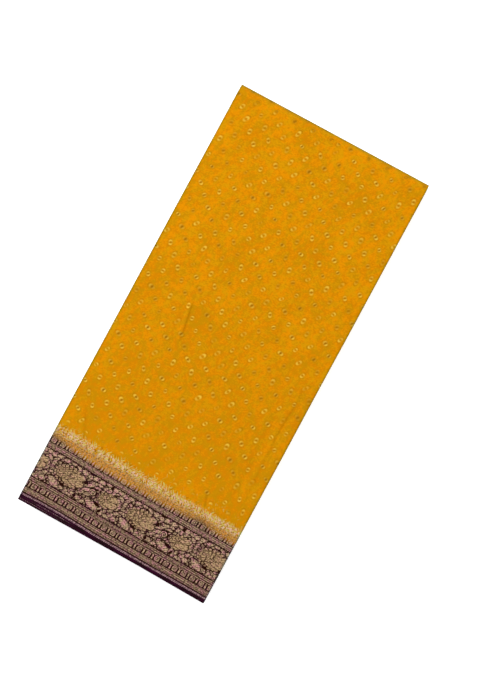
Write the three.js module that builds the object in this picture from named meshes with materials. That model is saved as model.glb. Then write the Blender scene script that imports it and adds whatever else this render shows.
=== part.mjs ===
// A folded sari. One woven length is folded back and forth across its length into a narrow
// stack, and the stack is then folded in half, so that the borders of all layers lie along
// the near edge and a round fold along the far one. The source holds one back-and-forth
// section of the layers, a little apart, at the size of the whole folded sari.
// Millimetres, +Z up. X runs across the stack, +Y points from the border to the round fold,
// and the origin is on the surface that it lies on, under the middle of the stack.

import * as THREE from "three";

// Driving dimensions
const CLOTH_WIDTH = 1140; // selvedge to selvedge, before the stack is folded in half
const STACK_WIDTH = 256; // side to side
const STACK_LENGTH = CLOTH_WIDTH / 2; // near edge to round fold
const CLOTH_THICKNESS = 1.15;
const LAYER_GAP = 0.52;
const PANELS = 8; // each panel lies once in the lower half and once in the upper half

// The layers' places, worked out from the driving dimensions
const PITCH = CLOTH_THICKNESS + LAYER_GAP;
const HALF_HEIGHT = (PANELS - 0.5) * PITCH + CLOTH_THICKNESS / 2;
const NEAR_EDGE = -STACK_LENGTH / 2;
const FOLD_START = STACK_LENGTH / 2 - HALF_HEIGHT; // where the halves begin to turn over
const SIDE = STACK_WIDTH / 2;

// How finely the surface is cut
const TURN_STEPS = 4; // round each side fold
const FOLD_STEPS = 8; // round the fold at the far edge
const FINE_PANELS = 3; // the outer panels, which carry the creases
const FINE_CUTS = [-0.84, -0.66, -0.42, -0.24, -0.1, 0.02, 0.2, 0.35, 0.5, 0.7, 0.8, 0.9];
const PLAIN_CUTS = [-0.4, 0.4]; // these and the fine ones are shares of the way to the side
const LOWER_ROWS = [NEAR_EDGE, NEAR_EDGE + 30, -90, 90];
const UPPER_ROWS = [
  235, 195, 165, 130, 95, 60, 30, 0, -30, -60, -90, -120, -150, -184, -215, NEAR_EDGE + 30, NEAR_EDGE,
];

// How far each panel falls short of the stack's edge, outermost first: at its side fold, and at
// the left and right of its end
const PANEL_SHAPES = [
  { fold: 0, left: 7.7, right: 0.9 },
  { fold: 0.9, left: 4.5, right: 0 },
  { fold: 2.1, left: 6.0, right: 1.4 },
  { fold: 0.3, left: 5.1, right: 3.3 },
  { fold: 1.5, left: 7.2, right: 2.2 },
  { fold: 0.6, left: 5.6, right: 4.1 },
  { fold: 2.4, left: 6.6, right: 2.5 },
  { fold: 1.1, left: 5.4, right: 3.7 },
];
const END_REACH = 60; // the ends' unevenness dies out over this length
const END_BOW = 0.5; // the near edge is this much hollow between the stack's corners
const FOLD_BOW = 0.3; // and so is the far fold
const FOLD_BOW_REACH = 60;

// The soft ridges (height above 0) and troughs in the top, by hand, from the near edge up
const CREASES = [
  { name: "left ridge", x: -31, from: -250, to: 262, lean: 4, height: 0.55, spread: 10 },
  { name: "middle ridge", x: 2, from: -180, to: 262, lean: -3, height: 0.45, spread: 8 },
  { name: "right ridge", x: 45, from: -120, to: 262, lean: 2, height: 0.6, spread: 8 },
  { name: "upper trough", x: 60, from: 112, to: 200, lean: 0, height: -0.5, spread: 7 },
  { name: "short crease", x: -50, from: -22, to: 40, lean: -4, height: -0.45, spread: 6 },
  { name: "long crease", x: 102, from: -190, to: 30, lean: 2, height: -0.55, spread: 6 },
  { name: "edge crease", x: 115, from: -195, to: 40, lean: -1, height: -0.4, spread: 5 },
  { name: "corner crease", x: -102, from: -185, to: -150, lean: -10, height: -0.4, spread: 6 },
];
const CREASE_RUNOUT = 26; // a crease fades in and out over this length
const CREASE_FADE = 3; // the higher, the faster the creases fade in the layers below

// The stack as a whole
const SIDE_DROP = 0.04; // the sides lie lower than the middle, as a share of the height
const END_DROP = 0.035; // so does the near edge, where no fold holds the layers up
const END_DROP_REACH = 135;
const SIDE_WAVES = {
  left: { depth: 0.6, length: 276, phase: 1.66 }, // how far the long edges wander inwards
  right: { depth: 0.6, length: 553, phase: 4.77 },
};

const COLOUR = 0xd98f07;
const ROUGHNESS = 0.62;

// Goes smoothly from 0 to 1 as value goes from low to high
function smoothStep(low, high, value) {
  const t = Math.min(Math.max((value - low) / (high - low), 0), 1);
  return t * t * (3 - 2 * t);
}

// The middle line of the folded length, seen along Y. across is the place between the sides,
// level the distance from the plane in which the stack is folded in half, and panel counts
// from the outermost, with the turns in between. way is 1 where a panel runs to the right, and
// angle says how far its turn has gone.
function foldLine() {
  const line = [];
  for (let panel = 0; panel < PANELS; panel += 1) {
    const level = HALF_HEIGHT - CLOTH_THICKNESS / 2 - panel * PITCH;
    const way = panel % 2 === 0 ? 1 : -1; // the outermost panel runs from left to right
    const last = panel === PANELS - 1;
    const turnCentre = SIDE - PANEL_SHAPES[panel].fold - (PITCH + CLOTH_THICKNESS) / 2;
    const start = panel === 0 ? -SIDE : line.at(-1).across;
    const finish = last ? way * (SIDE - PANEL_SHAPES[panel].fold) : way * turnCentre;
    const cuts = panel < FINE_PANELS ? FINE_CUTS : PLAIN_CUTS;
    const places = cuts.map((cut) => cut * SIDE).sort((a, b) => way * (a - b));
    if (panel === 0) {
      line.push({ across: start, level, panel, way, angle: 0 });
    }
    for (const across of places) {
      line.push({ across, level, panel, way, angle: 0 });
    }
    line.push({ across: finish, level, panel, way, angle: 0 });
    for (let step = 1; !last && step <= TURN_STEPS; step += 1) {
      const angle = (Math.PI * step) / TURN_STEPS;
      line.push({
        across: way * (turnCentre + (PITCH / 2) * Math.sin(angle)),
        level: level - (PITCH / 2) * (1 - Math.cos(angle)),
        panel: panel + step / TURN_STEPS,
        way,
        angle,
      });
    }
  }
  return line;
}

// The closed section of the sheet: out along one face of the fold line and back along the other.
// A face lies half the cloth's thickness from the line, square to it.
function sheetSection(line) {
  const faces = line.map(({ across, level, panel, way, angle }) => {
    const side = (sign) => ({
      across: across + (sign * way * Math.sin(angle) * CLOTH_THICKNESS) / 2,
      level: level + (sign * way * Math.cos(angle) * CLOTH_THICKNESS) / 2,
      panel,
    });
    return [side(1), side(-1)];
  });
  return [...faces.map((face) => face[0]), ...faces.map((face) => face[1]).reverse()];
}

// The rows along which the section is carried: up the lower half from its near edge, round the
// far fold, and back along the upper half
function foldRows() {
  const lower = LOWER_ROWS.map((y) => ({ y, turn: 0 }));
  const fold = Array.from({ length: FOLD_STEPS + 1 }, (_, i) => ({
    y: FOLD_START,
    turn: (Math.PI * i) / FOLD_STEPS,
  }));
  const upper = UPPER_ROWS.map((y) => ({ y, turn: Math.PI }));
  return [...lower, ...fold, ...upper];
}

// How short a panel's end is at a place across the stack, going evenly from one panel to the
// next through the turn between them
function endShortfall(panel, across) {
  const before = Math.floor(panel);
  const after = Math.min(before + 1, PANELS - 1);
  const towardsRight = (1 + across / SIDE) / 2;
  const [here, there] = [before, after].map((index) => {
    const { left, right } = PANEL_SHAPES[index];
    return left + (right - left) * towardsRight;
  });
  return here + (there - here) * (panel - before);
}

// The height of all ridges and troughs at a place in the top
function creaseHeight(x, y) {
  return CREASES.reduce((sum, crease) => {
    const along = (y - crease.from) / (crease.to - crease.from);
    const middle = crease.x + crease.lean * (along - 0.5);
    const across = Math.exp(-(((x - middle) / crease.spread) ** 2) / 2);
    const fadeIn = smoothStep(crease.from - CREASE_RUNOUT, crease.from, y);
    const fadeOut = 1 - smoothStep(crease.to, crease.to + CREASE_RUNOUT, y);
    return sum + crease.height * across * fadeIn * fadeOut;
  }, 0);
}

// Carries a point of the section to its row, and then makes the stack uneven: its ends, its
// wandering sides, its lower edges, and the creases, which fade in the layers below the top.
// The outline is a little hollow between its four corners, so the stack rests on them.
function place(point, row) {
  const flat = new THREE.Vector3(
    point.across,
    row.y + point.level * Math.sin(row.turn),
    HALF_HEIGHT - point.level * Math.cos(row.turn),
  );
  const fromMiddle = flat.x / SIDE;
  const nearEnd = Math.max(1 - (flat.y - NEAR_EDGE) / END_REACH, 0);
  const shortfall = endShortfall(point.panel, flat.x) + END_BOW * (1 - fromMiddle ** 2);
  const farEnd = smoothStep(FOLD_START - FOLD_BOW_REACH, FOLD_START, flat.y);
  const foldHollow = FOLD_BOW * (1 - fromMiddle ** 2);
  const y = flat.y + shortfall * nearEnd - foldHollow * farEnd;
  const wave = fromMiddle < 0 ? SIDE_WAVES.left : SIDE_WAVES.right;
  const inwards = (wave.depth / 2) * (1 - Math.sin((2 * Math.PI * y) / wave.length + wave.phase));
  const x = flat.x - inwards * fromMiddle;
  const nearDrop = END_DROP * (1 - smoothStep(NEAR_EDGE, NEAR_EDGE + END_DROP_REACH, y));
  const drop = SIDE_DROP * fromMiddle ** 4 + nearDrop;
  const upperHalf = (1 - Math.cos(row.turn)) / 2;
  const lift = creaseHeight(x, y) * upperHalf * (1 - point.panel / PANELS) ** CREASE_FADE;
  return new THREE.Vector3(x, y, flat.z * (1 - drop) + lift);
}

// The sheet as one closed surface: walls between neighbouring rows, and an end at each selvedge
function foldedSheet() {
  const section = sheetSection(foldLine());
  const rows = foldRows();
  const ring = section.length;
  const points = rows.flatMap((row) => section.map((point) => place(point, row)));
  const faces = [];
  for (let row = 0; row + 1 < rows.length; row += 1) {
    for (let i = 0; i < ring; i += 1) {
      const next = (i + 1) % ring;
      const [a, b] = [row * ring + i, row * ring + next];
      const [c, d] = [a + ring, b + ring];
      // All layers are cut along the same diagonal, so that their gaps stay even
      const rightwards = section[next].across > section[i].across;
      faces.push(...(rightwards ? [[a, d, b], [a, c, d]] : [[a, c, b], [b, c, d]]));
    }
  }
  const lastRow = (rows.length - 1) * ring;
  for (let i = 0; i + 1 < ring / 2; i += 1) {
    const [a, b, c, d] = [i, i + 1, ring - 2 - i, ring - 1 - i];
    faces.push([a, b, c], [a, c, d]);
    faces.push([lastRow + a, lastRow + c, lastRow + b], [lastRow + a, lastRow + d, lastRow + c]);
  }
  const geometry = new THREE.BufferGeometry();
  geometry.setAttribute(
    "position",
    new THREE.Float32BufferAttribute(points.flatMap((point) => point.toArray()), 3),
  );
  geometry.setIndex(faces.flat());
  geometry.computeVertexNormals();
  return geometry;
}

const cloth = new THREE.MeshStandardMaterial({ color: COLOUR, roughness: ROUGHNESS, metalness: 0 });
const sari = new THREE.Mesh(foldedSheet(), cloth);
sari.name = "sari";

const model = new THREE.Group();
model.add(sari);

export default model;
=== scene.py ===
"""A folded banarasi sari: one thin woven length, folded back and forth into a narrow stack that
is folded in half. Its body has small gold sprigs, and its selvedges a purple border."""

import math
from collections import namedtuple

import bpy
import numpy as np
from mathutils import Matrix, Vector


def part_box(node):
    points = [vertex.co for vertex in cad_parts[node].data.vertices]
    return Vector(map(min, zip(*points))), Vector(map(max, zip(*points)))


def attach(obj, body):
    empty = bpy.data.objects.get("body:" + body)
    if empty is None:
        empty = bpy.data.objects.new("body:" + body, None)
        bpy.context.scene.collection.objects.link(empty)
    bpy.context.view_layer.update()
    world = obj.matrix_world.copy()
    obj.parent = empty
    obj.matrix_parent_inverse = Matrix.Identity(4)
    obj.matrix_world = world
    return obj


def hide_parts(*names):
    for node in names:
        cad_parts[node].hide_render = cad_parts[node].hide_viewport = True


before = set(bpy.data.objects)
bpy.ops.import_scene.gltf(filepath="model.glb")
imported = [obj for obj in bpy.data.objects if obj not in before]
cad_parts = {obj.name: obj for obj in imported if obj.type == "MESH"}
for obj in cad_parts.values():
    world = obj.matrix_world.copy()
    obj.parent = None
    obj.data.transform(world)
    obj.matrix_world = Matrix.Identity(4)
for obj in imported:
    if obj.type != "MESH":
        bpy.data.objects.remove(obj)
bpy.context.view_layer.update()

bl_info = {
    "name": "Folded Sari",
    "version": (1, 0, 0),
    "blender": (4, 5, 0),
    "location": "View3D > Sidebar > Sari",
    "description": "Folds a woven length of cloth with brocade borders into a flat stack",
    "category": "Add Mesh",
}

# Lengths are in millimetres, but the lamp's and the camera's in metres
METRE = 1000
LOW, HIGH = (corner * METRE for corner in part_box("sari"))
SIDE = (HIGH.x - LOW.x) / 2
NEAR = LOW.y
FAR = HIGH.y
HIGHEST_RIDGE = 0.6  # of the solid, above the flat top
HALF = (HIGH.z - HIGHEST_RIDGE) / 2  # the halves of the stack meet at this height
FOLD_START = FAR - HALF  # where the halves begin to turn over
LEG = FOLD_START - NEAR

CLOTH_WIDTH = 1146  # selvedge to selvedge
SEED = 11

# How finely the cloth is cut
TOP_COLUMNS = 76
INNER_COLUMNS = (-0.88, -0.3, 0.3, 0.88)  # as shares of the half width
CREASE_COLUMN = 0.8  # apart, beside a narrow crease
TURN_STEPS = 3
FOLD_STEPS = 14
LOWER_ROWS = (0, 6, 14, 26, 45, 78, 116, 180, 250, 320, 390, 450, 510)
BORDER_REACH = 116  # from the near edge to where the border's material ends
BODY_ROWS = 94
BORDER_ROWS = 30
END_ROWS = (9, 6.5, 4.5, 3, 1.5, 0)
SHARP_ANGLE = 50  # degrees

# How far back from the solid's near end the selvedges of the top layer, the second one and the
# third one lie. The third one makes the outline.
ACROSS = (0, 30, 60, 100, 150, 200, 256)
TOP_SHORT = (8.7, 9.3, 8.7, 6.0, 4.4, 3.3, 2.0)
SECOND_SHORT = (6.6, 6.8, 6.4, 4.7, 3.5, 2.4, 0.8)
OUTLINE = (3.7, 3.9, 3.4, 2.8, 2.3, 1.1, -0.8)
END_REACH = 60  # along the stack, over which this fades
INNER_SHORT = (0.4, 3.8)  # of the inner layers, back from the outline
SIDE_SHORT = 2.6  # the most that an inner side fold lies back
UNEVEN_GAPS = 0.35

# How far the top layer's weave has slipped towards the near edge, at SLIP_HEIGHT up from it
SLIP_HEIGHT = 75
TOP_SLIP = (9.6, 9.5, 7.4, 5.6, 3.6, 2.8, 1.6)
BODY_SLIP = 5
BODY_STRETCH = 0.0037  # the slip loses this much for each mm up the length
END_SLIPS = 11  # both ends' slips together
FAR_SLOPE = 0.034  # of the slip across the body, at FAR_PLACE up the length
FAR_PLACE = 560
SLOPE_LOSS = 0.0515  # of this slope, over SLOPE_REACH back from there
SLOPE_REACH = 426

Crease = namedtuple("Crease", "x start end lean height left right")

# Soft ridges (height above 0) and troughs in the top layer. Each runs along Y from start
# to end, moves across by lean with x at its middle, and falls away over left and right.
CREASES = [Crease(*row) for row in (
    (-37, 40, 262, 14, 0.5, 9, 5), (-20, -250, 20, -6, 0.3, 12, 10),
    (-52.2, -14, 22, -6.5, 1.2, 2.6, 0.9), (2, 70, 130, 2, 0.35, 5, 7),
    (46, 38, 165, 3, 0.45, 7, 3), (58, 38, 165, 4, -0.4, 4, 8), (99, -142, -50, -3, -1.0, 2.4, 5),
    (112.5, -68, 0, 3.6, -1.35, 1.3, 3), (112.9, -158, -77, -3.1, -0.85, 1.4, 4),
    (114, -116, -84, -1.5, -0.65, 0.9, 2), (121.5, -160, 10, 0, 0.6, 3, 3),
    (117, -148, -138, -2, -1.1, 1, 2), (-103.6, -172, -147, -13, 1.3, 2.4, 0.9),
    (72.5, -179, -171, -3, -1.2, 0.9, 2.2),
)]
NARROW = 1.5  # a crease with a side below this is cut more finely
CREASE_RUNOUT = 9  # over this length such a crease fades in and out
WIDE_RUNOUT = 26  # and over this any other
SINK = 1.5  # the layers under the top one leave this much room for its troughs
SINK_START = (10, 40)  # it opens between these distances from the near edge
SINK_END = (-20, 5)  # and closes between these from where the far fold starts

RIM_SHADE_REACH = 3.4  # painted shade: the outer layer is darker within this distance of its sides and its far fold
FOLD_SHADE_SHARE = 0.55  # the distance from the far fold counts for this much
RIM_TONE = (0.3, 0.68, 0.9)  # what the painted shade leaves of each colour at the very rim
NO_RIM = 99  # added for the inner layers, which get no painted shade at their rims
FOLD_SHADE_ON_SPRIGS = (15, 9)  # from the far fold, where painted shade makes the sprigs darker and duller

# Broad waves of all layers: height, length, direction in degrees and phase
WAVES = [
    (0.22, 96, 12, 0.4), (0.18, 71, 64, 2.1), (0.2, 133, 101, 4.4), (0.1, 47, 38, 1),
    (0.08, 39, 140, 3.3),
]

SIDE_DROP = 0.04  # the sides lie lower than the middle, as a share of the height
END_DROP = 0.035  # so does the near edge
END_DROP_REACH = 135
SIDE_WAVE = 0.5  # how far each side fold wanders inwards
WANDER = ([[0.3], [150], [0]], [[1], [500], [6.28]])  # least and most depth, length and phase
FLATNESS = 8  # the power by which waves and creases die out at the sides

# The threads lean to the right on their way up the stack, but less at first
LEAN = 0.125
LEAN_START = 3.3
LEAN_REACH = 55


def smooth_step(low, high, value):
    """Goes smoothly from 0 to 1 as value goes from low to high."""
    share = np.clip((value - low) / (high - low), 0, 1)
    return share * share * (3 - 2 * share)


def panel_levels(panels, thickness, draw):
    """Height of each panel above the plane that the stack is folded in, outermost first: steps
    down to just above the plane, made a little uneven by draw."""
    gaps = 1 + UNEVEN_GAPS * (draw.random(panels - 1) - 0.5)
    depth = np.concatenate([[0], np.cumsum(gaps)]) / gaps.sum()
    outer = HALF - thickness / 2
    return outer - depth * (outer - thickness)


def top_cuts():
    """Places across the top panel: evenly apart, with closer ones beside the narrow creases."""
    cuts = [np.linspace(-SIDE, SIDE, TOP_COLUMNS)[:-1]]
    for crease in CREASES:
        if min(crease.left, crease.right) < NARROW:
            reach = abs(crease.lean) / 2 + 2 * NARROW
            cuts.append(np.arange(crease.x - reach, crease.x + reach, CREASE_COLUMN))
    cuts = np.unique(np.concatenate(cuts))
    return cuts[np.concatenate([[True], np.diff(cuts) > CREASE_COLUMN / 2])]


def fold_line(panels, thickness, draw):
    """The middle line of the folded length, seen along Y: straight panels that run right and
    left in turn, joined by half circles. Returns arrays of the place across, the level, the
    panel with the turns in between, the way it runs and how far its turn has gone."""
    levels = panel_levels(panels, thickness, draw)
    short = draw.uniform(0, SIDE_SHORT, panels)
    short[:3] = 0
    pieces = []
    for panel in range(panels):
        way = 1 if panel % 2 == 0 else -1
        last = panel == panels - 1
        radius = (levels[panel] - levels[min(panel + 1, panels - 1)]) / 2
        centre = SIDE - short[panel] - (0 if last else radius + thickness / 2)
        cuts = top_cuts() if panel == 0 else way * SIDE * np.array(INNER_COLUMNS)
        straight = np.concatenate([cuts, [way * centre]])
        straight = straight[way * straight <= centre + 1e-6]
        angle = np.linspace(0, math.pi, TURN_STEPS + 1)[1:] if not last else np.zeros(0)
        across = np.concatenate([straight, way * (centre + radius * np.sin(angle))])
        turn = np.concatenate([np.zeros(len(straight)), angle])
        level = levels[panel] - radius * (1 - np.cos(turn))
        pieces.append([across, level, panel + turn / math.pi, np.full(len(turn), way), turn])
    return [np.concatenate(column) for column in zip(*pieces)]


def end_shortfall(panel, across, draw, panels):
    """How far back a panel's end lies at a place across the stack: the three outer panels by
    their tables, the others by a straight line, and through a turn from one to the next."""
    x = across + SIDE
    outline = np.interp(x, ACROSS, OUTLINE)
    left, right = draw.uniform(*INNER_SHORT, (2, panels))
    rows = outline + left[:, None] + (right - left)[:, None] * x / (2 * SIDE)
    rows[0] = np.interp(x, ACROSS, TOP_SHORT)
    rows[1] = np.interp(x, ACROSS, SECOND_SHORT)
    rows[2] = outline
    before = np.floor(panel).astype(int)
    after = np.minimum(before + 1, panels - 1)
    point = np.arange(len(panel))
    return rows[before, point] + (rows[after, point] - rows[before, point]) * (panel - before)


def fold_rows():
    """Rows along the stack as arrays of y and of how far the half turn has gone: up the lower
    half, round the far fold and back along the upper half, closer together at the near edge."""
    lower = NEAR + np.array(LOWER_ROWS)
    turn = np.linspace(0, math.pi, FOLD_STEPS + 1)
    body = np.linspace(FOLD_START, NEAR + BORDER_REACH, BODY_ROWS + 1)[1:]
    border = np.linspace(NEAR + BORDER_REACH, NEAR + END_ROWS[0], BORDER_ROWS + 1)[1:-1]
    end = NEAR + np.array(END_ROWS)
    upper = np.concatenate([body, border, end])
    y = np.concatenate([lower, np.full(len(turn), FOLD_START), upper])
    return y, np.concatenate([np.zeros(len(lower)), turn, np.full(len(upper), math.pi)])


def crease_height(x, y, strength):
    """Sum of all creases at places in the top: each is a bell across, with its own width on
    either side, along a leaning line that fades in and out."""
    total = np.zeros(np.broadcast(x, y).shape)
    for crease in CREASES:
        along = (y - crease.start) / (crease.end - crease.start)
        offset = x - crease.x - crease.lean * (along - 0.5)
        across = np.exp(-((offset / np.where(offset < 0, crease.left, crease.right)) ** 2) / 2)
        runout = CREASE_RUNOUT if min(crease.left, crease.right) < NARROW else WIDE_RUNOUT
        fade_in = smooth_step(crease.start - runout, crease.start, y)
        fade_out = 1 - smooth_step(crease.end, crease.end + runout, y)
        total += strength * crease.height * across * fade_in * fade_out
    return total


def wave_height(x, y):
    """Sum of the broad waves: sines along their own directions."""
    total = 0
    for height, length, direction, phase in WAVES:
        angle = math.radians(direction)
        run = x * math.cos(angle) + y * math.sin(angle)
        total = total + height * np.sin(2 * math.pi * run / length + phase)
    return total


def fold_wander(x, y, panel, draw, panels):
    """How far inwards each side fold, which two panels share, wanders along the stack: a slow
    sine of its own."""
    right = 2 * np.floor(panel / 2).astype(int)
    left = 2 * np.floor((panel + 1) / 2).astype(int) - 1
    fold = np.where(x < 0, left, right) + 1
    depth, length, phase = draw.uniform(*WANDER, (3, panels + 2))
    wave = 1 - np.sin(2 * math.pi * y / length[fold] + phase[fold])
    return SIDE_WAVE / 2 * depth[fold] * wave * np.abs(x / SIDE) ** 4


def weave_slip(x, along):
    """How much further from the near edge a point of the top layer lies than its place in the
    weave says: uneven at both ends, and in between a slope that grows towards the far fold."""
    end = np.interp(x, ACROSS, TOP_SHORT)
    low = np.interp(x, ACROSS, TOP_SLIP)
    slope = FAR_SLOPE - SLOPE_LOSS * (np.clip(FAR_PLACE - along, 0, None) / SLOPE_REACH) ** 2
    body = BODY_SLIP - BODY_STRETCH * (along - SLIP_HEIGHT) + slope * (x - SIDE)
    slip = end + (low - end) * np.clip(along / SLIP_HEIGHT, 0, 1)
    slip = slip + (body - slip) * smooth_step(SLIP_HEIGHT, 2 * SLIP_HEIGHT, along)
    total = CLOTH_WIDTH + END_SLIPS
    return slip + (END_SLIPS - end - slip) * smooth_step(total - SLIP_HEIGHT, total, along)


def both_faces(front, back):
    """The cloth's outline in the section as one row: its front, and then its back in reverse."""
    return np.concatenate([front, back[::-1]])[None, :]


def folded_surface(panels, thickness, strength):
    """The cloth as a grid: its closed section, which is the fold line with half the thickness on
    either side, is carried along all rows. Returns the points, the weave's own coordinates, and
    the places for the texture maps and the rims."""
    draw = np.random.default_rng(SEED)
    across, level, panel, way, angle = fold_line(panels, thickness, draw)
    shortfall = end_shortfall(panel, across, draw, panels)
    run = np.concatenate([[0], np.cumsum(np.hypot(np.diff(across), np.diff(level)))])
    out = np.stack([way * np.sin(angle), way * np.cos(angle)]) * thickness / 2
    row_y, turn = (column[:, None] for column in fold_rows())
    mid_level = both_faces(level, level)
    x = both_faces(across + out[0], across - out[0])
    z_level = both_faces(level + out[1], level - out[1])
    panel = both_faces(panel, panel)
    run = both_faces(run, run)

    y = row_y + z_level * np.sin(turn)
    near = np.clip(1 - (y - NEAR) / END_REACH, 0, None)
    y = y + both_faces(shortfall, shortfall) * near
    z = HALF - z_level * np.cos(turn)
    upper = (1 - np.cos(turn)) / 2
    from_middle = x / SIDE

    whole = 2 * LEG + math.pi * mid_level
    nose_along = LEG + mid_level * (math.pi - turn)
    along, even_along = (
        np.where(turn == 0, whole - (place - NEAR), np.where(turn < math.pi, nose_along, place - NEAR))
        for place in (y, row_y)
    )
    even = CLOTH_WIDTH * even_along / whole
    slipped = along - weave_slip(np.clip(x + SIDE, 0, 2 * SIDE), along)
    v = slipped + (even - slipped) * np.clip(panel, 0, 1)
    u = run - (LEAN * along - LEAN_START * (1 - np.exp(-along / LEAN_REACH)))

    end_drop = END_DROP * (1 - smooth_step(NEAR, NEAR + END_DROP_REACH, y))
    drop = SIDE_DROP * from_middle**4 + end_drop
    unpinned = 1 - from_middle**FLATNESS
    inside = unpinned * smooth_step(*SINK_START, y - NEAR) * upper
    inside = inside * (1 - smooth_step(*SINK_END, y - FOLD_START))
    sink = SINK * inside * mid_level / HALF * np.clip(panel, 0, 1)
    waves = wave_height(x, y) * upper * np.clip(mid_level / HALF, 0, 1)
    creases = crease_height(x, y, strength) * upper * np.clip(1 - 3 * panel, 0, 1)
    z = z * (1 - drop) + (waves + creases) * unpinned - sink
    x = x - np.sign(x) * fold_wander(x, y, panel, draw, panels)
    points = np.stack(np.broadcast_arrays(x, y, z), axis=-1)
    # Distances from the outer layer's sides and far fold, over which its painted shade fades
    inner = np.where(panel < 1, 0, NO_RIM)
    rim = [SIDE - np.abs(x) + inner, FAR - y + inner, 0]
    places = {"panel": panel[0], "run": run[0], "x": x, "y": y, "along": along, "turn": turn[:, 0]}
    places["rim"] = np.stack(np.broadcast_arrays(*rim), axis=-1)
    return points, np.stack(np.broadcast_arrays(u, v), axis=-1), places


def grid_faces(rows, ring):
    """Quads between neighbouring rows, and those that close the first and the last row."""
    index = np.arange(rows * ring).reshape(rows, ring)
    a, c = index[:-1], index[1:]
    walls = np.stack([a, c, np.roll(c, -1, axis=1), np.roll(a, -1, axis=1)], axis=-1)
    i = np.arange(ring // 2 - 1)
    first = np.stack([i, i + 1, ring - 2 - i, ring - 1 - i], axis=-1)
    last = (rows - 1) * ring + first[:, [0, 3, 2, 1]]
    return walls.reshape(-1, 4), first, last


# The texture map for exports: the top, the underside and all the rest lie side by side
TOP_ISLAND = (0.002, 0.618)
UNDER_ISLAND = (0.622, 0.858)
REST_ISLAND = (0.862, 0.998)
END_STRIP = 0.012  # at the bottom and the top, for the faces that close the ends
MARGIN = 0.001


def spread(island, share):
    """A place on an island of the map, from its left to its right."""
    return island[0] + (island[1] - island[0]) * share


def bake_map(places, rows, ring):
    """Corners of all faces in the square from 0 to 1, without overlaps: the outer panel's outer
    faces by their place, and the others by their place along the section."""
    top = places["panel"] == 0
    top[ring // 2 :] = False
    top[np.flatnonzero(top)[-1]] = False
    r, i = np.meshgrid(np.arange(rows - 1), np.arange(ring), indexing="ij")
    corner_rows = np.stack([r, r + 1, r + 1, r], axis=-1)
    corner_points = np.stack([i, i, i + 1, i + 1], axis=-1)
    x, along = (places[name][corner_rows, corner_points % ring] for name in ("x", "along"))
    across = np.clip((x + SIDE) / (2 * SIDE), 0, 1)
    middle = int(np.argmin(np.abs(places["turn"] - math.pi / 2)))
    half = places["along"][middle].max()
    whole = places["along"][0].max()
    map_x = spread(REST_ISLAND, corner_points / ring)
    map_y = END_STRIP + (1 - 2 * END_STRIP) * (corner_rows / (rows - 1))
    islands = ((TOP_ISLAND, r >= middle, 0, half), (UNDER_ISLAND, r < middle, half, whole))
    for island, rows_in, low, high in islands:
        inside = (top[i] & rows_in)[..., None]
        outer_y = MARGIN + (1 - 2 * MARGIN) * np.clip((along - low) / (high - low), 0, 1)
        map_x = np.where(inside, spread(island, across), map_x)
        map_y = np.where(inside, outer_y, map_y)
    walls = np.stack([map_x, map_y], axis=-1).reshape(-1, 2)
    strip = spread(REST_ISLAND, np.arange(ring // 2) / (ring // 2))
    left, right = strip[:-1], strip[1:]
    near, far = (np.full(len(left), share * END_STRIP) for share in (0.2, 0.8))
    first = np.stack([left, near, right, near, right, far, left, far], axis=-1)
    last = np.stack([left, 1 - near, left, 1 - far, right, 1 - far, right, 1 - near], axis=-1)
    return np.concatenate([walls, first.reshape(-1, 2), last.reshape(-1, 2)])


def add_object(name, data):
    """A new object in the scene."""
    piece = bpy.data.objects.new(name, data)
    bpy.context.scene.collection.objects.link(piece)
    return piece


def mesh_object(name, points, faces):
    """A smooth mesh as a new object in the scene, its points turned from mm to metres."""
    mesh = bpy.data.meshes.new(name)
    mesh.from_pydata((points / METRE).tolist(), [], faces.tolist())
    mesh.polygons.foreach_set("use_smooth", np.ones(len(faces), dtype=bool))
    mesh.set_sharp_from_angle(angle=math.radians(SHARP_ANGLE))
    return add_object(name, mesh)


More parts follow.
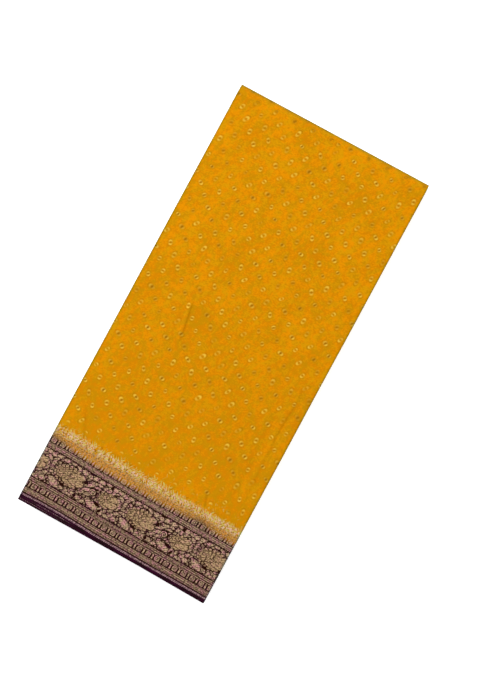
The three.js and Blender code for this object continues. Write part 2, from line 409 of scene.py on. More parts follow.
class Thread:
    """One socket of a material's nodes. Arithmetic on it adds Math nodes, and node() any other."""

    def __init__(self, tree, socket=None):
        self.tree = tree
        self.socket = socket

    def node(self, kind, settings=None, sockets=None, output=0):
        """Adds a node: its settings first, such as a ramp's stops, and then each socket's value,
        colour or link, by name or by place."""
        node = self.tree.nodes.new(kind if kind.startswith("Node") else f"ShaderNode{kind}")
        for name, value in (settings or {}).items():
            if name == "stops":
                elements = node.color_ramp.elements
                elements.remove(elements[1])
                for count, (place, tone) in enumerate(value):
                    element = elements.new(place) if count else elements[0]
                    element.position = place
                    element.color = (tone, tone, tone, 1)
            else:
                setattr(node, name, value)
        for key, value in (sockets or {}).items():
            if isinstance(value, Thread):
                self.tree.links.new(value.socket, node.inputs[key])
            else:
                solid = node.inputs[key].type == "RGBA"
                node.inputs[key].default_value = (*value, 1) if solid else value
        return None if output is None else Thread(self.tree, node.outputs[output])

    def math(self, operation, *values):
        return self.node("Math", {"operation": operation}, dict(enumerate(values)))

    def of(self, operation):
        """A Math node of this value alone, such as its root or its exponential."""
        return self.math(operation, self)

    def __add__(self, other):
        return self.math("ADD", self, other)

    __radd__ = __add__

    def __sub__(self, other):
        return self.math("SUBTRACT", self, other)

    def __rsub__(self, other):
        return self.math("SUBTRACT", other, self)

    def __mul__(self, other):
        return self.math("MULTIPLY", self, other)

    __rmul__ = __mul__

    def __truediv__(self, other):
        return self.math("DIVIDE", self, other)

    def __rtruediv__(self, other):
        return self.math("DIVIDE", other, self)

    def __abs__(self):
        return self.math("ABSOLUTE", self)

    def lower(self, other):
        return self.math("MINIMUM", self, other)

    def higher(self, other):
        return self.math("MAXIMUM", self, other)

    def wrapped(self, half):
        """The distance from the nearest of marks that lie two halves apart."""
        return self.math("WRAP", self, half, -half)

    def rises(self, low, high):
        """Goes smoothly from 0 to 1 between low and high, or back where low is the greater."""
        settings = {"interpolation_type": "SMOOTHSTEP", "clamp": False}
        return self.node("MapRange", settings, {"Value": self, "From Min": low, "From Max": high})

    def within(self, low, high, soft):
        """1 between low and high, with soft ends."""
        return self.rises(low - soft, low + soft) * self.rises(high + soft, high - soft)

    def peak(self, low, middle, high):
        """0 up to low, 1 at middle and 0 from high on."""
        return self.rises(low, middle) * self.rises(high, middle)

    def sine(self, length):
        """A sine of -1 to 1 along the value, with the given wave length."""
        return (self * (2 * math.pi / length)).of("SINE")

    def ramp(self, low, high, stops):
        """A tone that goes straight from stop to stop, with the stops given as (place, tone)."""
        share = (self - low) / (high - low)
        placed = [((place - low) / (high - low), tone) for place, tone in stops]
        return self.node("ValToRGB", {"stops": placed}, {"Fac": share})

    def blend(self, first, second):
        """From the first number to the second as this one goes from 0 to 1."""
        return self.node("Mix", {"data_type": "FLOAT"}, {0: self, 2: first, 3: second})

    def tint(self, first, second):
        """From the first colour to the second as this number goes from 0 to 1."""
        return self.node("Mix", {"data_type": "RGBA"}, {0: self, 6: first, 7: second}, output=2)

    def parts(self):
        """The first two numbers of a vector."""
        return [self.node("SeparateXYZ", None, {0: self}, output=part) for part in (0, 1)]


def shaded(colour, factor):
    """A colour made lighter or darker by a factor."""
    return tuple(value * factor for value in colour)


class Weave:
    """The cloth's own coordinates and colours in one material: u runs along the length, v across
    it from a selvedge, and edge is the distance from the nearer selvedge, all in mm."""

    def __init__(self, name, colours):
        self.material = bpy.data.materials.new(name)
        self.material.use_nodes = True
        tree = self.material.node_tree
        tree.nodes.clear()
        self.colours = colours
        self.start = Thread(tree)
        self.u, self.v = self.start.node("UVMap", {"uv_map": "weave"}).parts()
        self.edge = self.v.lower(CLOTH_WIDTH - self.v)
        # Distances from the outer layer's rims, for the painted shade there and on the sprigs
        rim = self.start.node("Attribute", {"attribute_name": "rim"}, output=1)
        self.from_side, self.from_fold = rim.parts()

    def vector(self, x, y):
        return self.start.node("CombineXYZ", None, {0: x, 1: y})

    def noise(self, across, along, detail=2, place=None):
        """Soft noise of 0 to 1. Its features have the given widths in mm along u and v, or along
        the two numbers of another place."""
        x, y = place or (self.u, self.v)
        sockets = {"Vector": self.vector(x / across, y / along), "Scale": 1, "Detail": detail}
        return self.start.node("TexNoise", {"noise_dimensions": "2D"}, sockets)

    def finish(self, colour, roughness, metal, height):
        """Ends the material: the painted shade at the outer layer's rims, the shader, the bump and the
        output.
        """
        bump = {"Strength": 0.5, "Distance": 0.1 / METRE, "Height": height}
        # Painted shade: the colour darkens towards the outer layer's sides and far fold
        wear_and_painted_light = (1 - self.from_side.lower(self.from_fold * FOLD_SHADE_SHARE) / RIM_SHADE_REACH).higher(0)
        rim = {0: wear_and_painted_light * wear_and_painted_light, 6: colour, 7: RIM_TONE}
        colour = self.start.node("Mix", {"data_type": "RGBA", "blend_type": "MULTIPLY"}, rim, output=2)
        sockets = {
            "Base Color": colour,
            "Roughness": roughness,
            "Metallic": metal,
            "Normal": self.start.node("Bump", None, bump),
            "Sheen Weight": 0.03,
            "Sheen Roughness": 0.5,
            "Sheen Tint": self.colours.amber,
            "Specular IOR Level": 0.015,
        }
        shader = self.start.node("BsdfPrincipled", None, sockets)
        self.start.node("OutputMaterial", None, {"Surface": shader}, output=None)
        return self.material


SPRIG_ACROSS = 24.8
SPRIG_ALONG = 11.65
SPRIG_AT = (97.3, 337)  # the place of one of them
SPRIG_START = 106  # from the selvedge
SPRIG_RING = (0.6, 1.9, 3.4)  # inner, middle and outer radius
SPRIG_RIM = (2.7, 3.8, 5)  # the same of the dark line round it
SPRIG_HEART = (1, 2.5)  # the dark ring of a sprig in the painted shade at the far fold
SPRIG_GLOW = 7  # the ground is more olive up to this far from a sprig


def sprig_marks(weave):
    """The small sprigs in their half drop: each is a ring of two petals, turned and uneven by
    chance, with painted shade at the far fold that makes them darker and duller. Returns the
    cover of bright thread, the dark heart and rim, and the glow of the ground all round."""
    row = ((weave.v - SPRIG_AT[1]) / SPRIG_ALONG).of("ROUND")
    y = weave.v - SPRIG_AT[1] - row * SPRIG_ALONG
    shifted = weave.u - SPRIG_AT[0] - row * (SPRIG_ACROSS / 2)
    x = shifted.wrapped(SPRIG_ACROSS / 2)
    cell = {"Vector": weave.vector(row, ((shifted - x) / SPRIG_ACROSS).of("ROUND"))}
    chance = weave.start.node("TexWhiteNoise", {"noise_dimensions": "2D"}, cell)
    other = (chance * 17.3).of("FRACT")
    third = (chance * 71.9).of("FRACT")
    along, aside = turned(x, y, other * 120 + 50)
    radius = oval(along, aside, third * 0.6 + 0.85, chance * 0.3 + 0.8)
    angle = along.math("ARCTAN2", aside, along + chance * 1.2 - 0.6)
    uneven = (angle + third * 6.28).of("COSINE") * 0.25 + 0.75
    petals = ((angle * 2).of("COSINE") * 0.5 + 0.5) * uneven
    # Painted shade: near the far fold the sprigs lose their bright thread and get a dark ring
    fold_shade = weave.from_fold.rises(*FOLD_SHADE_ON_SPRIGS)
    strength = (chance * 5.3).of("FRACT").rises(-0.1, 0.9) * 1.05 + 0.2
    marks = radius.peak(*SPRIG_RING) * (petals * 0.9 + 0.1) * strength * (1 - fold_shade * 0.8)
    rim = radius.peak(*SPRIG_RIM) * (petals * 0.35 + 0.05)
    heart = radius.rises(SPRIG_RIM[1], 0.3) * (1 - petals * 0.4) * (other * 0.8 + 0.3)
    heart = heart.higher(radius.within(*SPRIG_HEART, 0.5) * fold_shade * 0.6)
    glow = oval(x, y, SPRIG_GLOW, SPRIG_GLOW).rises(1, 0.1)
    allowed = weave.edge.rises(SPRIG_START - 2, SPRIG_START)
    return marks * allowed, heart.higher(rim) * allowed, glow * allowed


def oval(x, y, half_length, half_width):
    """Distance from an oval's centre, in its own half sizes: 1 is its outline."""
    x, y = x / half_length, y / half_width
    return (x * x + y * y).of("SQRT")


GROUND_TONES = (0.88, 1.11)  # of its darkest and lightest threads
GROUND_SHADE = (460, 60)  # it gets darker from the first distance to the second


def ground_tone(weave):
    """The ground of the body: amber and olive patches with faint slubs, darker at the border."""
    broad = weave.noise(34, 44, 3)
    patches = weave.noise(5, 6, 1)
    slub = weave.noise(2.6, 1.7, 1)
    light = (broad * 0.3 + patches * 0.3 + slub * 0.4).rises(0.38, 0.62)
    light = light - weave.edge.rises(*GROUND_SHADE) * 0.45
    hue = weave.noise(9, 10).rises(0.36, 0.64)
    amber, olive = weave.colours.amber, weave.colours.olive
    tones = [hue.tint(shaded(amber, tone), shaded(olive, tone)) for tone in GROUND_TONES]
    return light.tint(*tones)


def sprigged_ground(weave):
    """The ground with its sprigs: colour and how much of it is metal thread."""
    marks, shade, glow = sprig_marks(weave)
    ground = (glow * 0.45).tint(ground_tone(weave), weave.colours.olive)
    ground = shade.tint(ground, weave.colours.shadow)
    return marks.tint(ground, weave.colours.sprig), marks


def crepe_height(weave):
    """The fine pebbles of the cloth, with the threads of the weave across them."""
    pebbles = weave.noise(1.1, 0.8, 1)
    threads = weave.u.sine(0.9) * weave.v.sine(0.7)
    return pebbles + threads * 0.15


def body_material(colours):
    """Plain amber cloth with sprigs."""
    weave = Weave("sari_body", colours)
    colour, cover = sprigged_ground(weave)
    roughness = cover.blend(0.62, 0.45)
    return weave.finish(colour, roughness, cover * 0.35, crepe_height(weave))


# The border's stripes: distance from the selvedge and how much metal thread covers the ground
LOW_STRIPES = [
    (2.2, 0), (3, 0.5), (4.3, 0.5), (5, 0), (6, 0), (6.7, 0.4), (7.6, 0.4), (8.1, 0.25),
    (8.7, 0.32), (9.3, 0.68), (10.1, 0.68), (10.7, 0.34), (11.6, 0.46), (12.1, 0.44), (12.8, 0),
    (19.6, 0), (20.2, 0.5), (21.2, 0.5), (21.7, 0.08), (22.4, 0.08), (22.9, 0.56),
    (23.8, 0.56), (24.3, 0.22), (24.7, 0.24), (25.2, 0.46), (25.9, 0.44), (26.4, 0),
]
HIGH_STRIPES = [
    (67, 0), (67.5, 0.45), (68.2, 0.45), (68.7, 0.3), (69.2, 0.36), (69.9, 0.7), (70.8, 0.7),
    (71.4, 0.28), (71.8, 0.3), (72.2, 0.5), (72.9, 0.48), (73.5, 0.02), (74.2, 0), (79.8, 0.1),
    (80.4, 0.42), (81.2, 0.4), (81.6, 0.16), (82.2, 0.16), (82.6, 0.42), (83.4, 0.4), (84, 0.2),
    (84.8, 0.22), (85.6, 0.36), (86.6, 0.34), (88.2, 0),
]
KEY_PERIOD = 12.22
KEY_BANDS = [(16.6, 2.75, 2.35), (77, 2.75, 3.2)]  # middle, half height, bar's place
KEY_BAR = 0.9  # half width
KEY_SQUARE = (3.15, 0.6, 1.35, 2.4)  # half width; inner, middle and outer radius of its hollow


def key_marks(weave, middle, half_height, bar_at):
    """Thread cover of a band of upright bars, with a square between each two that has a round
    hollow with a small knot in it."""
    x = abs((weave.u - bar_at - KEY_PERIOD / 2).wrapped(KEY_PERIOD / 2))
    height = abs(weave.edge - middle)
    soft = 0.22
    bar_start = KEY_PERIOD / 2 - KEY_BAR
    bar = x.rises(bar_start - soft, bar_start + soft)
    half_width, *hollow = KEY_SQUARE
    corner = (x + height).rises(half_width + half_height - 0.2, half_width + half_height - 1.2)
    square = x.rises(half_width + soft, half_width - soft) * corner
    hollow = oval(x, height, 1, 1).peak(*hollow)
    ends = height.rises(half_height + soft, half_height - soft)
    return (bar * 1.3).higher(square * (1 - hollow * 0.75)) * ends


FLOWER_BAND = (27.3, 66)
FLOWER_PERIOD = 99.4
GAP = 0.7  # width of the dark line round a figure
SOFT = 0.3  # how soft its edges are
FOLIAGE_MIDDLE = 63  # of the stretch that the small foliage repeats

# Leaves: across, along, half length, half width, turn in degrees, tone
LEAVES = [
    # along the band's upper edge
    (14.4, 63, 5, 2.6, 20, 0.62), (24.8, 63.5, 4.6, 2.1, 12, 0.6), (34.2, 64.4, 4.2, 1.6, 0, 0.62),
    (42.4, 62.3, 4.4, 2.6, -35, 0.66), (50.9, 62.5, 4.8, 2.8, -12, 0.6),
    (58.8, 61.5, 3.8, 2.4, -20, 0.62), (65.8, 62.6, 3.6, 2.8, 30, 0.66), (74.5, 63, 4.6, 2.5, 8, 0.7),
    (83.5, 64.5, 4.2, 1.6, -3, 0.64), (93.3, 63.3, 4.1, 2.7, -15, 0.7), (100.8, 63.5, 3.8, 2.2, 10, 0.6),
    (7.4, 62.5, 3.8, 2.4, -10, 0.58),
    # between the blooms
    (12.8, 59, 4, 1.8, 35, 0.55), (12.8, 54, 5.2, 2.2, 80, 0.58), (6.8, 54, 5, 2, 70, 0.55),
    (15.6, 47.2, 4.2, 1.5, 15, 0.62), (15.3, 43.2, 4.2, 1.5, 10, 0.6), (7.7, 45.5, 4.8, 2.2, 60, 0.55),
    (8.9, 38.5, 4.4, 2.2, 30, 0.58), (68.5, 57, 6.2, 1.7, 12, 0.64), (63.5, 52, 7.4, 1.9, 28, 0.68),
    (63.1, 46, 6.6, 2, 30, 0.66), (66.6, 41.5, 6.4, 1.8, 22, 0.62), (58.7, 40, 4.4, 1.8, 35, 0.56),
    (74.2, 54, 4.6, 1.6, 5, 0.6), (74.8, 58.4, 4.4, 1.6, -8, 0.6), (82.3, 58.5, 2.8, 1.8, 50, 0.62),
    (88, 58.6, 2.8, 1.9, 95, 0.66), (93.3, 58.5, 3, 1.9, 60, 0.64), (104.9, 57.5, 4.4, 2.1, -35, 0.6),
    (105.6, 49.5, 4.8, 1.9, 75, 0.58), (101, 38.5, 4.2, 1.7, 30, 0.58),
    # along the lower edge
    (23.9, 33.3, 10, 4.3, -27, 0.58), (9.5, 31.5, 4.8, 2.8, -5, 0.66), (35.4, 31.6, 4, 1.9, -25, 0.6),
    (42, 30.7, 3.8, 2.3, 60, 0.64), (47.7, 34.5, 4.6, 1.7, 65, 0.64), (50.9, 32, 4.4, 2, -35, 0.68),
    (46.7, 29.3, 4.2, 1.6, 0, 0.64), (58.5, 31.5, 5.2, 2.5, -10, 0.52), (65.5, 30.6, 3.8, 2.1, 20, 0.58),
    (77.9, 32.8, 11.5, 4, -14, 0.58), (88.2, 34, 3.8, 1.5, 60, 0.6), (93, 30.7, 4, 2.4, 70, 0.68),
    (95.2, 34.5, 4.4, 1.6, 85, 0.62), (100.1, 29.8, 4.6, 2.1, 0, 0.7), (103.7, 34, 4.6, 1.9, 50, 0.62),
    # dark gaps
    (39.5, 60.8, 2.4, 1.5, 20, 0), (57.3, 53.5, 3.8, 1.9, -30, 0), (59, 65.6, 3.4, 0.9, 0, 0),
    (71, 50.7, 5, 0.9, 18, 0), (34.3, 35.3, 3.4, 1.2, -8, 0), (82, 36.8, 4.4, 1.3, -18, 0),
    (54, 31.7, 2, 1.5, 0, 0), (88.7, 63.3, 2.6, 1, -60, 0), (89.4, 31.3, 2.6, 1, 65, 0),
]
CURL = (71.1, 46.2, 4.4, 2.3, 0.95, 0)  # across, along, reach, pitch, tone, outline's tone

# Rings of small petals: across, along, count, first and last direction in degrees, the ring's
# half length and half height, a petal's half length and half width, tone, outline's tone
RINGS = [
    (37.4, 48.5, 10, 68, 224, 17.3, 9.6, 3, 2.2, 0.62, 0),
    (92, 46.5, 7, 70, 232, 10.5, 7.4, 2.7, 1.9, 0.62, 0),
]
INNER_RINGS = [
    (34.5, 48.3, 8, 60, 250, 9, 5.6, 2.7, 1.9, 0.64, 0.14),
    (35.5, 48.3, 5, 50, 260, 4.2, 2.8, 2.2, 1.7, 0.64, 0.16),
    (89.5, 46.3, 6, 40, 250, 4.6, 3.8, 2.2, 1.6, 0.64, 0.14),
]
# Large petals: across, along, half length, half width, turn in degrees, tone, outline's tone
DOMES = [
    (34.5, 48.3, 14, 8.8, 180, 0.6, 0.12), (89, 46.3, 8.2, 6.7, 180, 0.6, 0.12),
]
LOBES = [
    (40.5, 40.6, 9.5, 3.6, -6, 0.6, 0.03), (46.5, 53, 9.2, 4.7, 14, 0.62, 0.03),
    (47.5, 45.5, 9.6, 5.3, 8, 0.66, 0.03), (89.5, 40, 6.6, 2.9, -10, 0.62, 0.03),
    (98.2, 51.6, 7, 3.9, 20, 0.7, 0.03), (97, 43.8, 8.2, 4.7, 14, 0.72, 0.03),
]
BLOOMS = [(38, 48, 19.5, 12), (93, 47, 13.5, 9.5)]  # across, along, half sizes


def figure(name, sizes, draw):
    """A group of nodes that lays a figure over the cover so far, at its place and in its sizes
    and tones. draw gives the depth in mm inwards from its outline, and its shading."""
    tree = bpy.data.node_groups.new(name, "ShaderNodeTree")
    for label in ("u", "edge", "cover", "across", "along") + sizes + ("tone", "line"):
        tree.interface.new_socket(name=label, in_out="INPUT", socket_type="NodeSocketFloat")
    tree.interface.new_socket(name="cover", in_out="OUTPUT", socket_type="NodeSocketFloat")
    start = Thread(tree)
    entry = start.node("NodeGroupInput")
    inputs = {socket.name: Thread(tree, socket) for socket in entry.socket.node.outputs if socket.name}
    x = (inputs["u"] - inputs["across"]).wrapped(FLOWER_PERIOD / 2)
    depth, shade = draw(x, inputs["edge"] - inputs["along"], *(inputs[label] for label in sizes))
    reach = depth.rises(-GAP - SOFT, -GAP + SOFT)
    inner = depth.rises(-SOFT, SOFT).blend(inputs["line"], shade * inputs["tone"])
    start.node("NodeGroupOutput", None, {0: reach.blend(inputs["cover"], inner)}, output=None)
    return tree


def turned(x, y, turn):
    """The place seen from axes turned by an angle in degrees."""
    angle = turn * (math.pi / 180)
    cosine, sine = angle.of("COSINE"), angle.of("SINE")
    return x * cosine + y * sine, y * cosine - x * sine


def draw_leaf(x, y, half_length, half_width, turn):
    """A pointed leaf between two arcs, with slanting veins: 1 - x*x - |y| is 0 on its edge."""
    along, aside = turned(x, y, turn)
    share = along / half_length
    depth = (1 - share * share - abs(aside) / half_width) * half_width
    veins = (along + abs(aside)).sine(3.1) * 0.36
    # Painted shading: each leaf is lighter towards its middle, as if rounded; the veins are woven
    return depth, depth * 0.12 + 0.88 - veins


def draw_petal(x, y, half_length, half_width, turn):
    """A petal that is round at its tip and narrow at its foot, with fine lines along it."""
    along, aside = turned(x, y, turn)
    share = along / half_length
    widened = aside / half_width * (1.3 - share * 0.35)
    depth = (1 - (share * share + widened * widened).of("SQRT")) * half_width
    return depth, 0.95 - aside.sine(2.3) * 0.28


def draw_curl(x, y, reach, pitch):
    """A small spiral tendril: its arm moves out by the pitch in each turn."""
    distance = (x * x + y * y).of("SQRT")
    arm = (distance / pitch * (2 * math.pi) - y.math("ARCTAN2", y, x)).of("SINE")
    return reach - distance, arm.rises(-0.3, 0.4)


def bloom_places(weave):
    """1 in the blooms, where the thread is more golden, and 0 outside them."""
    inside = 0
    for across, along, half_length, half_height in BLOOMS:
        x = (weave.u - across).wrapped(FLOWER_PERIOD / 2) / half_length
        y = (weave.edge - along) / half_height
        inside = (x * x + y * y).rises(1.15, 0.8).higher(inside)
    return inside


def ring_petals(rings):
    """The petals of rings, as rows like those of the large petals."""
    rows = []
    for across, along, count, first, last, out, up, *size, tone, line in rings:
        for turn in np.linspace(first, last, count):
            angle = math.radians(turn)
            place = (across + out * math.cos(angle), along + up * math.sin(angle))
            rows.append((*place, *size, turn, tone, line))
    return rows


def flower_marks(weave):
    """The flower band: two blooms with leaves all round them in each period, small foliage of
    random cells where these leave the cover at -1, and a fine slanting hatch over all."""
    sizes = ("half length", "half width", "turn")
    leaf = figure("leaf", sizes, draw_leaf)
    petal = figure("petal", sizes, draw_petal)
    curl = figure("curl", ("reach", "pitch"), draw_curl)
    rows = [(leaf, *row, 0) for row in LEAVES] + [(curl, *CURL)]
    petals = ring_petals(RINGS) + DOMES + ring_petals(INNER_RINGS) + LOBES
    rows += [(petal, *row) for row in petals]
    x = (weave.u - FOLIAGE_MIDDLE).wrapped(FLOWER_PERIOD / 2)
    cells = weave.start.node(
        "TexVoronoi",
        {"voronoi_dimensions": "2D", "feature": "DISTANCE_TO_EDGE"},
        {"Vector": weave.vector(x / 5.2, weave.edge / 4), "Scale": 1, "Randomness": 0.9},
    )
    foliage = cells.rises(0.1, 0.24) * 0.5
    cover = -1
    for tree, *numbers in rows:
        sockets = {0: weave.u, 1: weave.edge, 2: cover}
        sockets.update((3 + count, float(number)) for count, number in enumerate(numbers))
        cover = weave.start.node("Group", {"node_tree": tree}, sockets)
    cover = cover.higher(0) - cover.lower(0) * foliage
    return cover * ((weave.edge * 0.84 - weave.u * 0.54).sine(2.5) * 0.28 + 0.95)


# All distances are from the selvedge
DYE_LINE = 73.2  # where the amber begins
DYE_REACH = 9  # over which it gets pure
DYE_BUMPS = [(199, 3.6, 9), (190, 2.6, 32), (-7, 5, 14)]  # place along the length, height, width
BROWNED = (79, 94)  # the amber has brown places
MAROON_START = 5
FEATHER = (86.5, 100.5)  # its lower and its upper edge
FEATHER_LEANS = (0.5, -0.7)
FEATHER_START = (82, 88)  # its thread fades in
FEATHER_TONE = (84, 90)  # its colours take over
GREEN_TIPS = (99, 94)  # it is greener above
GOLDEN = (74, 84)  # the thread gets more golden
BOLD = (34, 62)  # the flowers' thread gets denser
LILAC = (5.5, 4.5)  # the first stripe's thread ends
BAND_MIDDLE = 47  # the high stripes' table holds beyond here


def dyed_ground(weave):
    """Purple at the selvedge, maroon under the metal thread and amber in the body, browned where
    it begins, with a soft line where the dyes meet. Returns the colour and how amber it is."""
    line = weave.noise(14, 14) * 3 + (DYE_LINE - 1.5)
    for place, height, width in DYE_BUMPS:
        offset = (weave.u - place).wrapped(2 * SIDE) / width
        line = line + (offset * offset * -0.5).of("EXPONENT") * height
    amber = (weave.edge - line).rises(0, DYE_REACH)
    patches = weave.noise(11, 6).rises(0.68, 0.5) * 0.6 + 0.4
    maroon = weave.edge.rises(MAROON_START - 1, MAROON_START) * patches
    duller = weave.noise(16, 3).rises(0.4, 0.6)
    selvedge = duller.tint(weave.colours.purple, weave.colours.plum)
    dark = maroon.tint(selvedge, weave.colours.maroon)
    browned = weave.edge.within(*BROWNED, 5) * weave.noise(2.2, 1.8, 1).rises(0.4, 0.58)
    bright = browned.tint(ground_tone(weave), shaded(weave.colours.shadow, 0.7))
    return amber.tint(dark, bright), amber


def feather_strokes(weave, width, length, cut):
    """Thin strokes: noise stretched along one lean or, in patches, another, above a cut."""
    strokes = []
    for lean in FEATHER_LEANS:
        noise = weave.noise(width, length, 1, (weave.u + weave.edge * lean, weave.edge))
        strokes.append((noise - cut).rises(-0.07, 0.1))
    return weave.noise(11, 9).rises(0.5, 0.56).blend(*strokes)


def feather_marks(weave):
    """The feathered edge: thin pale strokes, dense in the middle and ending in uneven tips
    above, and dark ones between them."""
    above = (weave.edge - FEATHER[0]) / (FEATHER[1] - FEATHER[0])
    tips = weave.noise(5, 60).rises(0.35, 0.65) * 0.1
    cut = above.rises(0.42, 1.25) * 0.36 + above.rises(0.35, -0.25) * 0.18 + 0.46 - tips
    pale = feather_strokes(weave, 1.35, 8, cut)
    dark = feather_strokes(weave, 1.3, 6, 0.58)
    return pale, dark * above.within(-0.3, 1.0, 0.25)


def border_material(colours):
    """The border: stripes, two key bands, the flower band and the feathered edge, in metal
    thread on the dyed ground, and the sprigs beyond them."""
    weave = Weave("sari_border", colours)
    edge = weave.edge
    low = edge.ramp(0, FLOWER_BAND[0], LOW_STRIPES)
    high = edge.ramp(FLOWER_BAND[1], HIGH_STRIPES[-1][0], HIGH_STRIPES)
    stripes = edge.rises(BAND_MIDDLE - 0.1, BAND_MIDDLE + 0.1).blend(low, high)
    dashes = (weave.u + edge * 0.4).sine(2.35) * edge.sine(2.2)
    stripes = stripes * (dashes * 1.2 + 0.74)
    for middle, half_height, bar_at in KEY_BANDS:
        inside = edge.within(middle - half_height - 0.3, middle + half_height + 0.3, 0.15)
        marks = key_marks(weave, middle, half_height, bar_at) * 0.52
        stripes = inside.blend(stripes, marks)
    flowers = edge.within(*FLOWER_BAND, 0.25)
    bolder = edge.rises(*BOLD) * 0.14 + 1
    stripes = flowers.blend(stripes, flower_marks(weave) * bolder)
    pale, dark = feather_marks(weave)
    ground, amber = dyed_ground(weave)
    cover = stripes.higher(pale * 0.8 * edge.rises(*FEATHER_START))
    # Uneven thread cover, partly uneven weave and partly painted glints of the metal thread
    wear_and_painted_light = weave.noise(2.3, 1.7, 1).rises(0.32, 0.66)
    cover = cover * (wear_and_painted_light * 1.2 + 0.35)

    ground = (dark * 0.6).tint(ground, shaded(colours.shadow, 0.85))
    sprigged, sprigs = sprigged_ground(weave)
    ground = edge.rises(SPRIG_START - 4, SPRIG_START - 2).tint(ground, sprigged)
    tinge = weave.noise(5, 4, 3).rises(0.43, 0.66)
    thread = tinge.tint(colours.zari_pale, colours.zari_rose)
    golden = (bloom_places(weave) * 0.65).higher(edge.rises(*GOLDEN) * 0.8)
    thread = golden.tint(thread, colours.zari)
    thread = edge.rises(*LILAC).tint(thread, colours.zari_lilac)
    paler = weave.noise(4, 3, 1).rises(0.35, 0.65) * edge.rises(*GREEN_TIPS)
    feather = paler.tint(colours.feather_green, colours.feather)
    thread = (edge.rises(*FEATHER_TONE) * amber).tint(thread, feather)
    colour = cover.tint(ground, thread)
    metal = cover.higher(sprigs)
    roughness = metal.blend(0.62, 0.42)
    return weave.finish(colour, roughness, metal * 0.4, crepe_height(weave))


class SariSizes(bpy.types.PropertyGroup):
    panels: bpy.props.IntProperty(
        name="Panels", description="How often the length is laid back and forth", default=22, min=3
    )
    thickness: bpy.props.FloatProperty(
        name="Cloth thickness", description="Thickness of one layer", default=0.00032,
        unit="LENGTH", precision=5,
    )
    creases: bpy.props.FloatProperty(
        name="Creases", description="Strength of the creases in the top layer", default=1.0,
        subtype="FACTOR", min=0, max=1.5,
    )


STAGE_LIGHT = 1.5  # how bright the stage's light makes a white surface


def colour_property(name, description, *screen):
    """A colour setting, given as it shows on the screen, 0 to 255, in the stage's light."""
    share = np.array(screen) / 255
    linear = np.where(share <= 0.04045, share / 12.92, ((share + 0.055) / 1.055) ** 2.4)
    tone = (linear / STAGE_LIGHT).tolist()
    return bpy.props.FloatVectorProperty(
        name=name, description=description, subtype="COLOR", default=tone, min=0, max=1
    )


class SariColours(bpy.types.PropertyGroup):
    amber: colour_property("Amber", "Ground of the body", 227, 142, 0)
    olive: colour_property("Olive", "The same where it is more yellow", 214, 147, 2)
    purple: colour_property("Purple", "Ground of the selvedge", 52, 8, 36)
    plum: colour_property("Plum", "The same where it is duller", 34, 12, 18)
    maroon: colour_property("Maroon", "Ground under the border's metal thread", 38, 10, 2)
    zari: colour_property("Metal thread", "Thread of the border's blooms", 208, 172, 120)
    zari_pale: colour_property("Pale thread", "Thread of the rest of the border", 214, 181, 143)
    zari_rose: colour_property("Rose thread", "The same where it is more rose", 230, 164, 162)
    zari_lilac: colour_property("Lilac thread", "Thread of the border's first stripe", 218, 174, 178)
    feather: colour_property("Feather", "Thread of the feathered edge", 240, 198, 166)
    feather_green: colour_property("Green feather", "The same where it is greener", 218, 198, 98)
    sprig: colour_property("Sprig", "Bright thread of the sprigs", 246, 198, 66)
    shadow: colour_property("Shadow", "Dark thread beside a sprig", 156, 102, 4)


class StageSettings(bpy.types.PropertyGroup):
    # Brighter than the screen's white, so that the soft shadows on it stay white
    floor: colour_property("Floor", "Colour of the floor", 290, 290, 290)
    glow: bpy.props.FloatProperty(name="Glow", description="Light from the floor itself", default=0.5)
    sky: bpy.props.FloatProperty(name="Sky", description="Light from all round", default=0.95)
    lamp: bpy.props.FloatProperty(
        name="Lamp", description="Power of the large lamp", default=220, unit="POWER"
    )


class SARI_OT_fold(bpy.types.Operator):
    """Make the folded cloth and give it its two materials"""

    bl_idname = "sari.fold"
    bl_label = "Fold the sari"

    def execute(self, context):
        sizes = context.scene.sari_sizes
        colours = context.scene.sari_colours
        thickness = sizes.thickness * METRE
        points, weave, places = folded_surface(sizes.panels, thickness, sizes.creases)
        rows, ring = points.shape[:2]
        walls, first, last = grid_faces(rows, ring)
        faces = np.concatenate([walls, first, last])
        sari = mesh_object("folded_sari", points.reshape(-1, 3), faces)
        maps = {"weave": weave.reshape(-1, 2)[faces.ravel()], "OFBake": bake_map(places, rows, ring)}
        for name, corners in maps.items():
            layer = sari.data.uv_layers.new(name=name)
            layer.uv.foreach_set("vector", corners.astype(np.float32).ravel())
        rim = sari.data.attributes.new("rim", "FLOAT_VECTOR", "POINT")
        rim.data.foreach_set("vector", places["rim"].astype(np.float32).ravel())
        sari.data.materials.append(body_material(colours))
        sari.data.materials.append(border_material(colours))
        in_border = fold_rows()[0] <= NEAR + BORDER_REACH + 0.1
        material = np.repeat(in_border[:-1] & in_border[1:], ring).astype(np.int32)
        ends = np.ones(len(first) + len(last), dtype=np.int32)
        sari.data.polygons.foreach_set("material_index", np.concatenate([material, ends]))
        sari.data.update()
        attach(sari, "root")
        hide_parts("sari")
        return {"FINISHED"}


CAMERA_TURN = 28.4  # degrees that the photo's upward direction lies left of the sari's length
CAMERA_AT = (0.0148, 0.0119)
PHOTO_HEIGHT = 0.816  # metres that the photo shows, at the sari's top
LENS = 150  # mm, as is the sensor
SENSOR = 36
FLOOR_SIZE = 6000
FLOOR_GAP = 0.1  # the floor lies this much lower, because two faces in one plane would mix
LAMP_AT = (-3.67, 1.1, 3.21)
LAMP_SIZE = 2.2
WHITE = (1, 1, 1, 1)


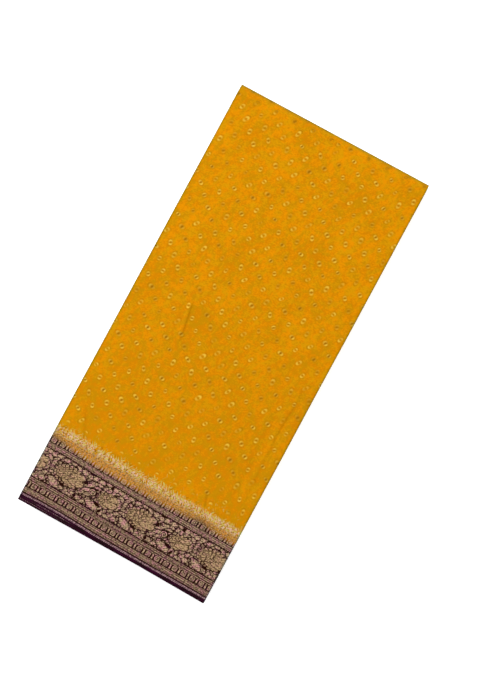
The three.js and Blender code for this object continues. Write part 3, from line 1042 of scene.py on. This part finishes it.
class SARI_OT_stage(bpy.types.Operator):
    """Make the floor, the light and the camera"""

    bl_idname = "sari.stage"
    bl_label = "Set the stage"

    def execute(self, context):
        scene = context.scene
        settings = scene.sari_stage
        corners = np.array([[-1, -1, 0], [1, -1, 0], [1, 1, 0], [-1, 1, 0]]) * FLOOR_SIZE / 2
        corners[:, 2] = -FLOOR_GAP
        floor = mesh_object("floor", corners, np.array([[0, 1, 2, 3]]))
        material = bpy.data.materials.new("pale_floor")
        material.use_nodes = True
        shader = material.node_tree.nodes["Principled BSDF"]
        shader.inputs["Base Color"].default_value = (*settings.floor, 1)
        shader.inputs["Roughness"].default_value = 0.9
        shader.inputs["Emission Color"].default_value = WHITE
        shader.inputs["Emission Strength"].default_value = settings.glow
        floor.data.materials.append(material)

        world = bpy.data.worlds.new("pale_sky")
        world.use_nodes = True
        sky = world.node_tree.nodes["Background"]
        sky.inputs["Color"].default_value = WHITE
        sky.inputs["Strength"].default_value = settings.sky
        scene.world = world

        lamp = bpy.data.lights.new("large_lamp", "AREA")
        lamp.energy = settings.lamp
        lamp.size = LAMP_SIZE
        light = add_object("large_lamp", lamp)
        light.location = LAMP_AT
        light.rotation_euler = (-Vector(LAMP_AT)).to_track_quat("-Z", "Y").to_euler()

        lens = bpy.data.cameras.new("camera")
        lens.lens = LENS
        lens.sensor_width = SENSOR
        camera = add_object("camera", lens)
        height = 2 * HALF / METRE + PHOTO_HEIGHT * LENS / SENSOR
        camera.location = (*CAMERA_AT, height)
        camera.rotation_euler = (0, 0, math.radians(CAMERA_TURN))
        scene.camera = camera
        scene.view_settings.view_transform = "Standard"
        return {"FINISHED"}


class SARI_PT_sidebar(bpy.types.Panel):
    """Lists the settings and the steps"""

    bl_label = "Folded sari"
    bl_idname = "SARI_PT_sidebar"
    bl_space_type = "VIEW_3D"
    bl_region_type = "UI"
    bl_category = "Sari"

    def draw(self, context):
        for group in SETTINGS:
            settings = getattr(context.scene, group)
            for name in settings.bl_rna.properties.keys():
                if name not in ("rna_type", "name"):
                    self.layout.prop(settings, name)
        for operator in (SARI_OT_fold, SARI_OT_stage):
            self.layout.operator(operator.bl_idname)


SETTINGS = {"sari_sizes": SariSizes, "sari_colours": SariColours, "sari_stage": StageSettings}
CLASSES = (*SETTINGS.values(), SARI_OT_fold, SARI_OT_stage, SARI_PT_sidebar)


def register():
    for item in CLASSES:
        bpy.utils.register_class(item)
    for name, group in SETTINGS.items():
        setattr(bpy.types.Scene, name, bpy.props.PointerProperty(type=group))


def unregister():
    for name in SETTINGS:
        delattr(bpy.types.Scene, name)
    for item in reversed(CLASSES):
        bpy.utils.unregister_class(item)


def main():
    register()
    bpy.ops.sari.fold()
    bpy.ops.sari.stage()


if __name__ == "__main__":
    main()
